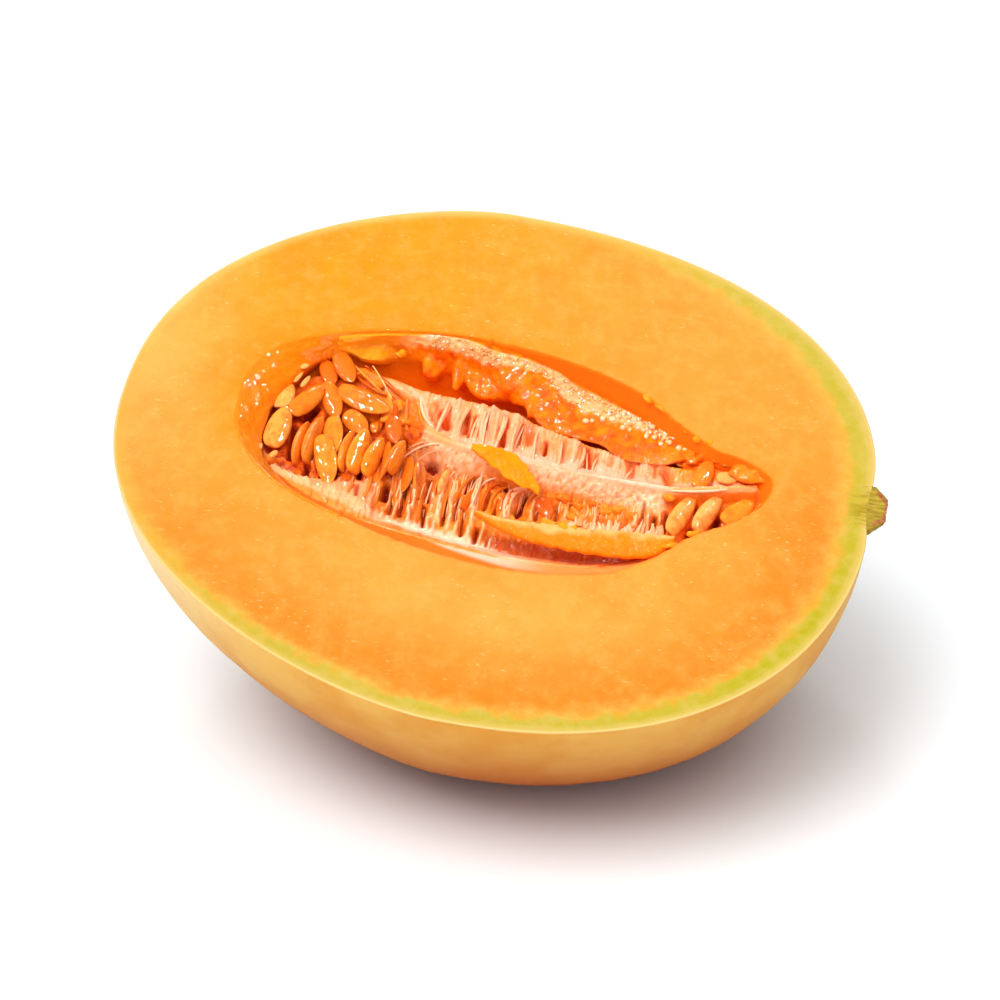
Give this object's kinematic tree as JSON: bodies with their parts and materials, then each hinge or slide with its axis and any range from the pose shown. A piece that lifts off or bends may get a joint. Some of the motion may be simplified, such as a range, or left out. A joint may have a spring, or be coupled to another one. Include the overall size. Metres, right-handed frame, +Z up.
{
  "type": "melon half",
  "caption": "Half of a ripe orange-fleshed melon with smooth pale yellow rind, cut lengthwise to show its seeds, lying tilted on its rounded side.",
  "frame": {"origin": "on the floor, under the middle of the melon half's box as it lies", "axes": "+Z up; +X along the fruit towards the stem, which dips a little; the cut face leans towards -Y"},
  "size_m": [0.173, 0.1376, 0.1029],
  "materials": {
    "flesh_and_rind": "moist orange flesh with a thin green edge inside a smooth, satin, pale yellow rind",
    "pulp_and_seeds": "wet stringy pale pink pulp with tan seeds",
    "gel": "clear wet orange gel with pale grains",
    "loose_flesh": "moist torn flesh",
    "stem": "fibrous green stem with a dry brown end"
  },
  "bodies": {
    "root": {"melon_half": "flesh_and_rind", "seed_pulp": "pulp_and_seeds", "gel_ridge": "gel", "pulp_shred": "loose_flesh", "flesh_slab": "loose_flesh", "stem": "stem"}
  },
  "joints": []
}
